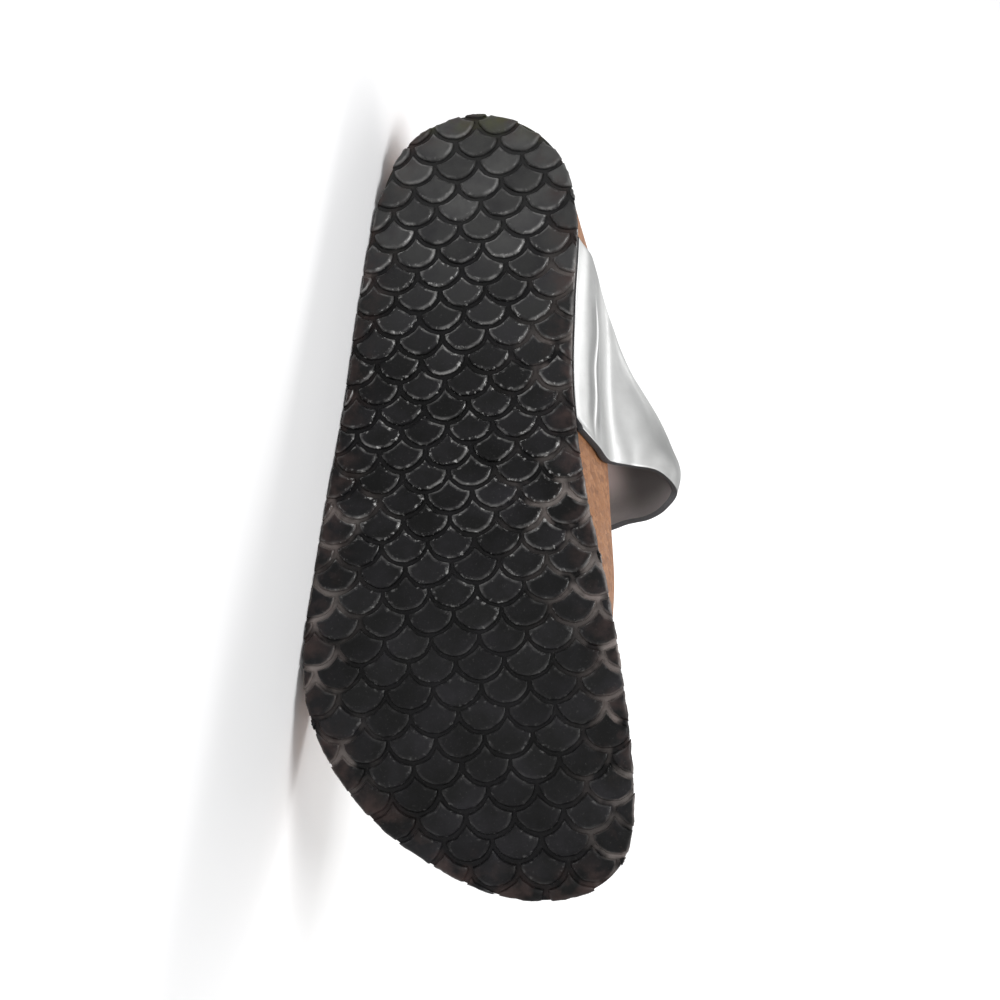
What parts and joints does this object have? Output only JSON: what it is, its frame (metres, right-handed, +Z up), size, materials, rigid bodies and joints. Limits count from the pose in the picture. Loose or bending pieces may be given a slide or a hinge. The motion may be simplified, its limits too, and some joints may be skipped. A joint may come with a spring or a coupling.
{
  "type": "toe post sandal",
  "caption": "Left toe post sandal with a moulded cork footbed, flat dark outsole and a wide silver strap buckled on the outer side, lying on its side.",
  "frame": {"origin": "centre of the bounding box, on the floor under the lateral sole edge", "axes": "+X along the straight lateral sole edge from heel to toe, +Y from the outsole's tread towards the foot, +Z up, from the lateral side to the medial side"},
  "size_m": [0.2554, 0.0794, 0.1095],
  "materials": {
    "outsole": "worn satin foamed rubber, near black",
    "cork": "sealed granulated cork, tan",
    "suede": "matt tan suede liner",
    "strap": "smooth silver-faced synthetic leather with a dark grey cut edge",
    "buckle": "plain satin metal"
  },
  "bodies": {
    "root": {"outsole": "outsole", "footbed": "cork", "insole": "suede", "upper": "strap", "buckle_strap": "strap", "toe_post": "strap", "buckle_frame": "buckle", "buckle_prong": "buckle"}
  },
  "joints": []
}
